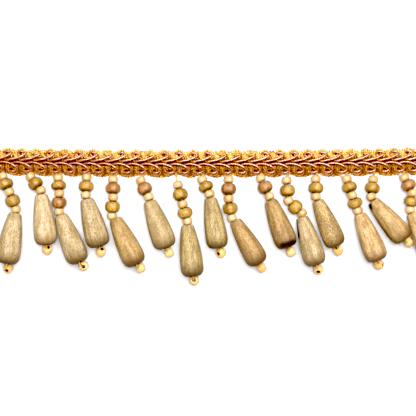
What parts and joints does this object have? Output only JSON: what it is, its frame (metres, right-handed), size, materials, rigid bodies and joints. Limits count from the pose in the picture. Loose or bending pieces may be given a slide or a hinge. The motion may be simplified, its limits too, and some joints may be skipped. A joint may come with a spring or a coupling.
{
  "type": "beaded fringe trim",
  "caption": "Cut length of beaded fringe trim: a braided heading with looped cord chevrons, and strings of turned wooden beads that end in drop-shaped pendants.",
  "frame": {"origin": "middle of the heading's length and middle line, on its flat back face", "axes": "+X along the heading, -Y towards the pendants, +Z out of the face of the trim"},
  "size_m": [0.1997, 0.061, 0.0115],
  "materials": {
    "gold_yarn": "matte",
    "rose_cord": "satin",
    "natural_wood": "satin",
    "olive_wood": "satin",
    "honey_wood": "satin",
    "rose_wood": "satin",
    "pendant_wood": "matte"
  },
  "bodies": {
    "root": {"heading_band": "gold_yarn", "heading_cord_lower": "rose_cord", "heading_cord_upper": "rose_cord", "string_01_large_bead_1": "olive_wood", "string_01_large_bead_2": "olive_wood", "string_01_pendant": "pendant_wood", "string_01_thread_and_small_beads": "natural_wood", "string_02_large_bead_1": "olive_wood", "string_02_pendant": "pendant_wood", "string_02_thread_and_small_beads": "natural_wood", "string_03_large_bead_1": "honey_wood", "string_03_large_bead_2": "rose_wood", "string_03_pendant": "pendant_wood", "string_03_thread_and_small_beads": "natural_wood", "string_04_large_bead_1": "honey_wood", "string_04_pendant": "pendant_wood", "string_04_thread_and_small_beads": "natural_wood", "string_05_large_bead_1": "rose_wood", "string_05_large_bead_2": "honey_wood", "string_05_pendant": "pendant_wood", "string_05_thread_and_small_beads": "natural_wood", "string_06_large_bead_1": "rose_wood", "string_06_pendant": "pendant_wood", "string_06_thread_and_small_beads": "natural_wood", "string_07_large_bead_1": "olive_wood", "string_07_large_bead_2": "honey_wood", "string_07_pendant": "pendant_wood", "string_07_thread_and_small_beads": "natural_wood", "string_08_large_bead_1": "olive_wood", "string_08_pendant": "pendant_wood", "string_08_thread_and_small_beads": "natural_wood", "string_09_large_bead_1": "rose_wood", "string_09_large_bead_2": "olive_wood", "string_09_pendant": "pendant_wood", "string_09_thread_and_small_beads": "natural_wood", "string_10_large_bead_1": "rose_wood", "string_10_pendant": "pendant_wood", "string_10_thread_and_small_beads": "natural_wood", "string_11_large_bead_1": "olive_wood", "string_11_large_bead_2": "honey_wood", "string_11_pendant": "pendant_wood", "string_11_thread_and_small_beads": "natural_wood", "string_12_large_bead_1": "honey_wood", "string_12_pendant": "pendant_wood", "string_12_thread_and_small_beads": "natural_wood", "string_13_large_bead_1": "olive_wood", "string_13_large_bead_2": "honey_wood", "string_13_pendant": "pendant_wood", "string_13_thread_and_small_beads": "natural_wood", "string_14_large_bead_1": "olive_wood", "string_14_pendant": "pendant_wood", "string_14_thread_and_small_beads": "natural_wood", "string_15_large_bead_1": "rose_wood", "string_15_large_bead_2": "olive_wood", "string_15_pendant": "pendant_wood", "string_15_thread_and_small_beads": "natural_wood"}
  },
  "joints": []
}
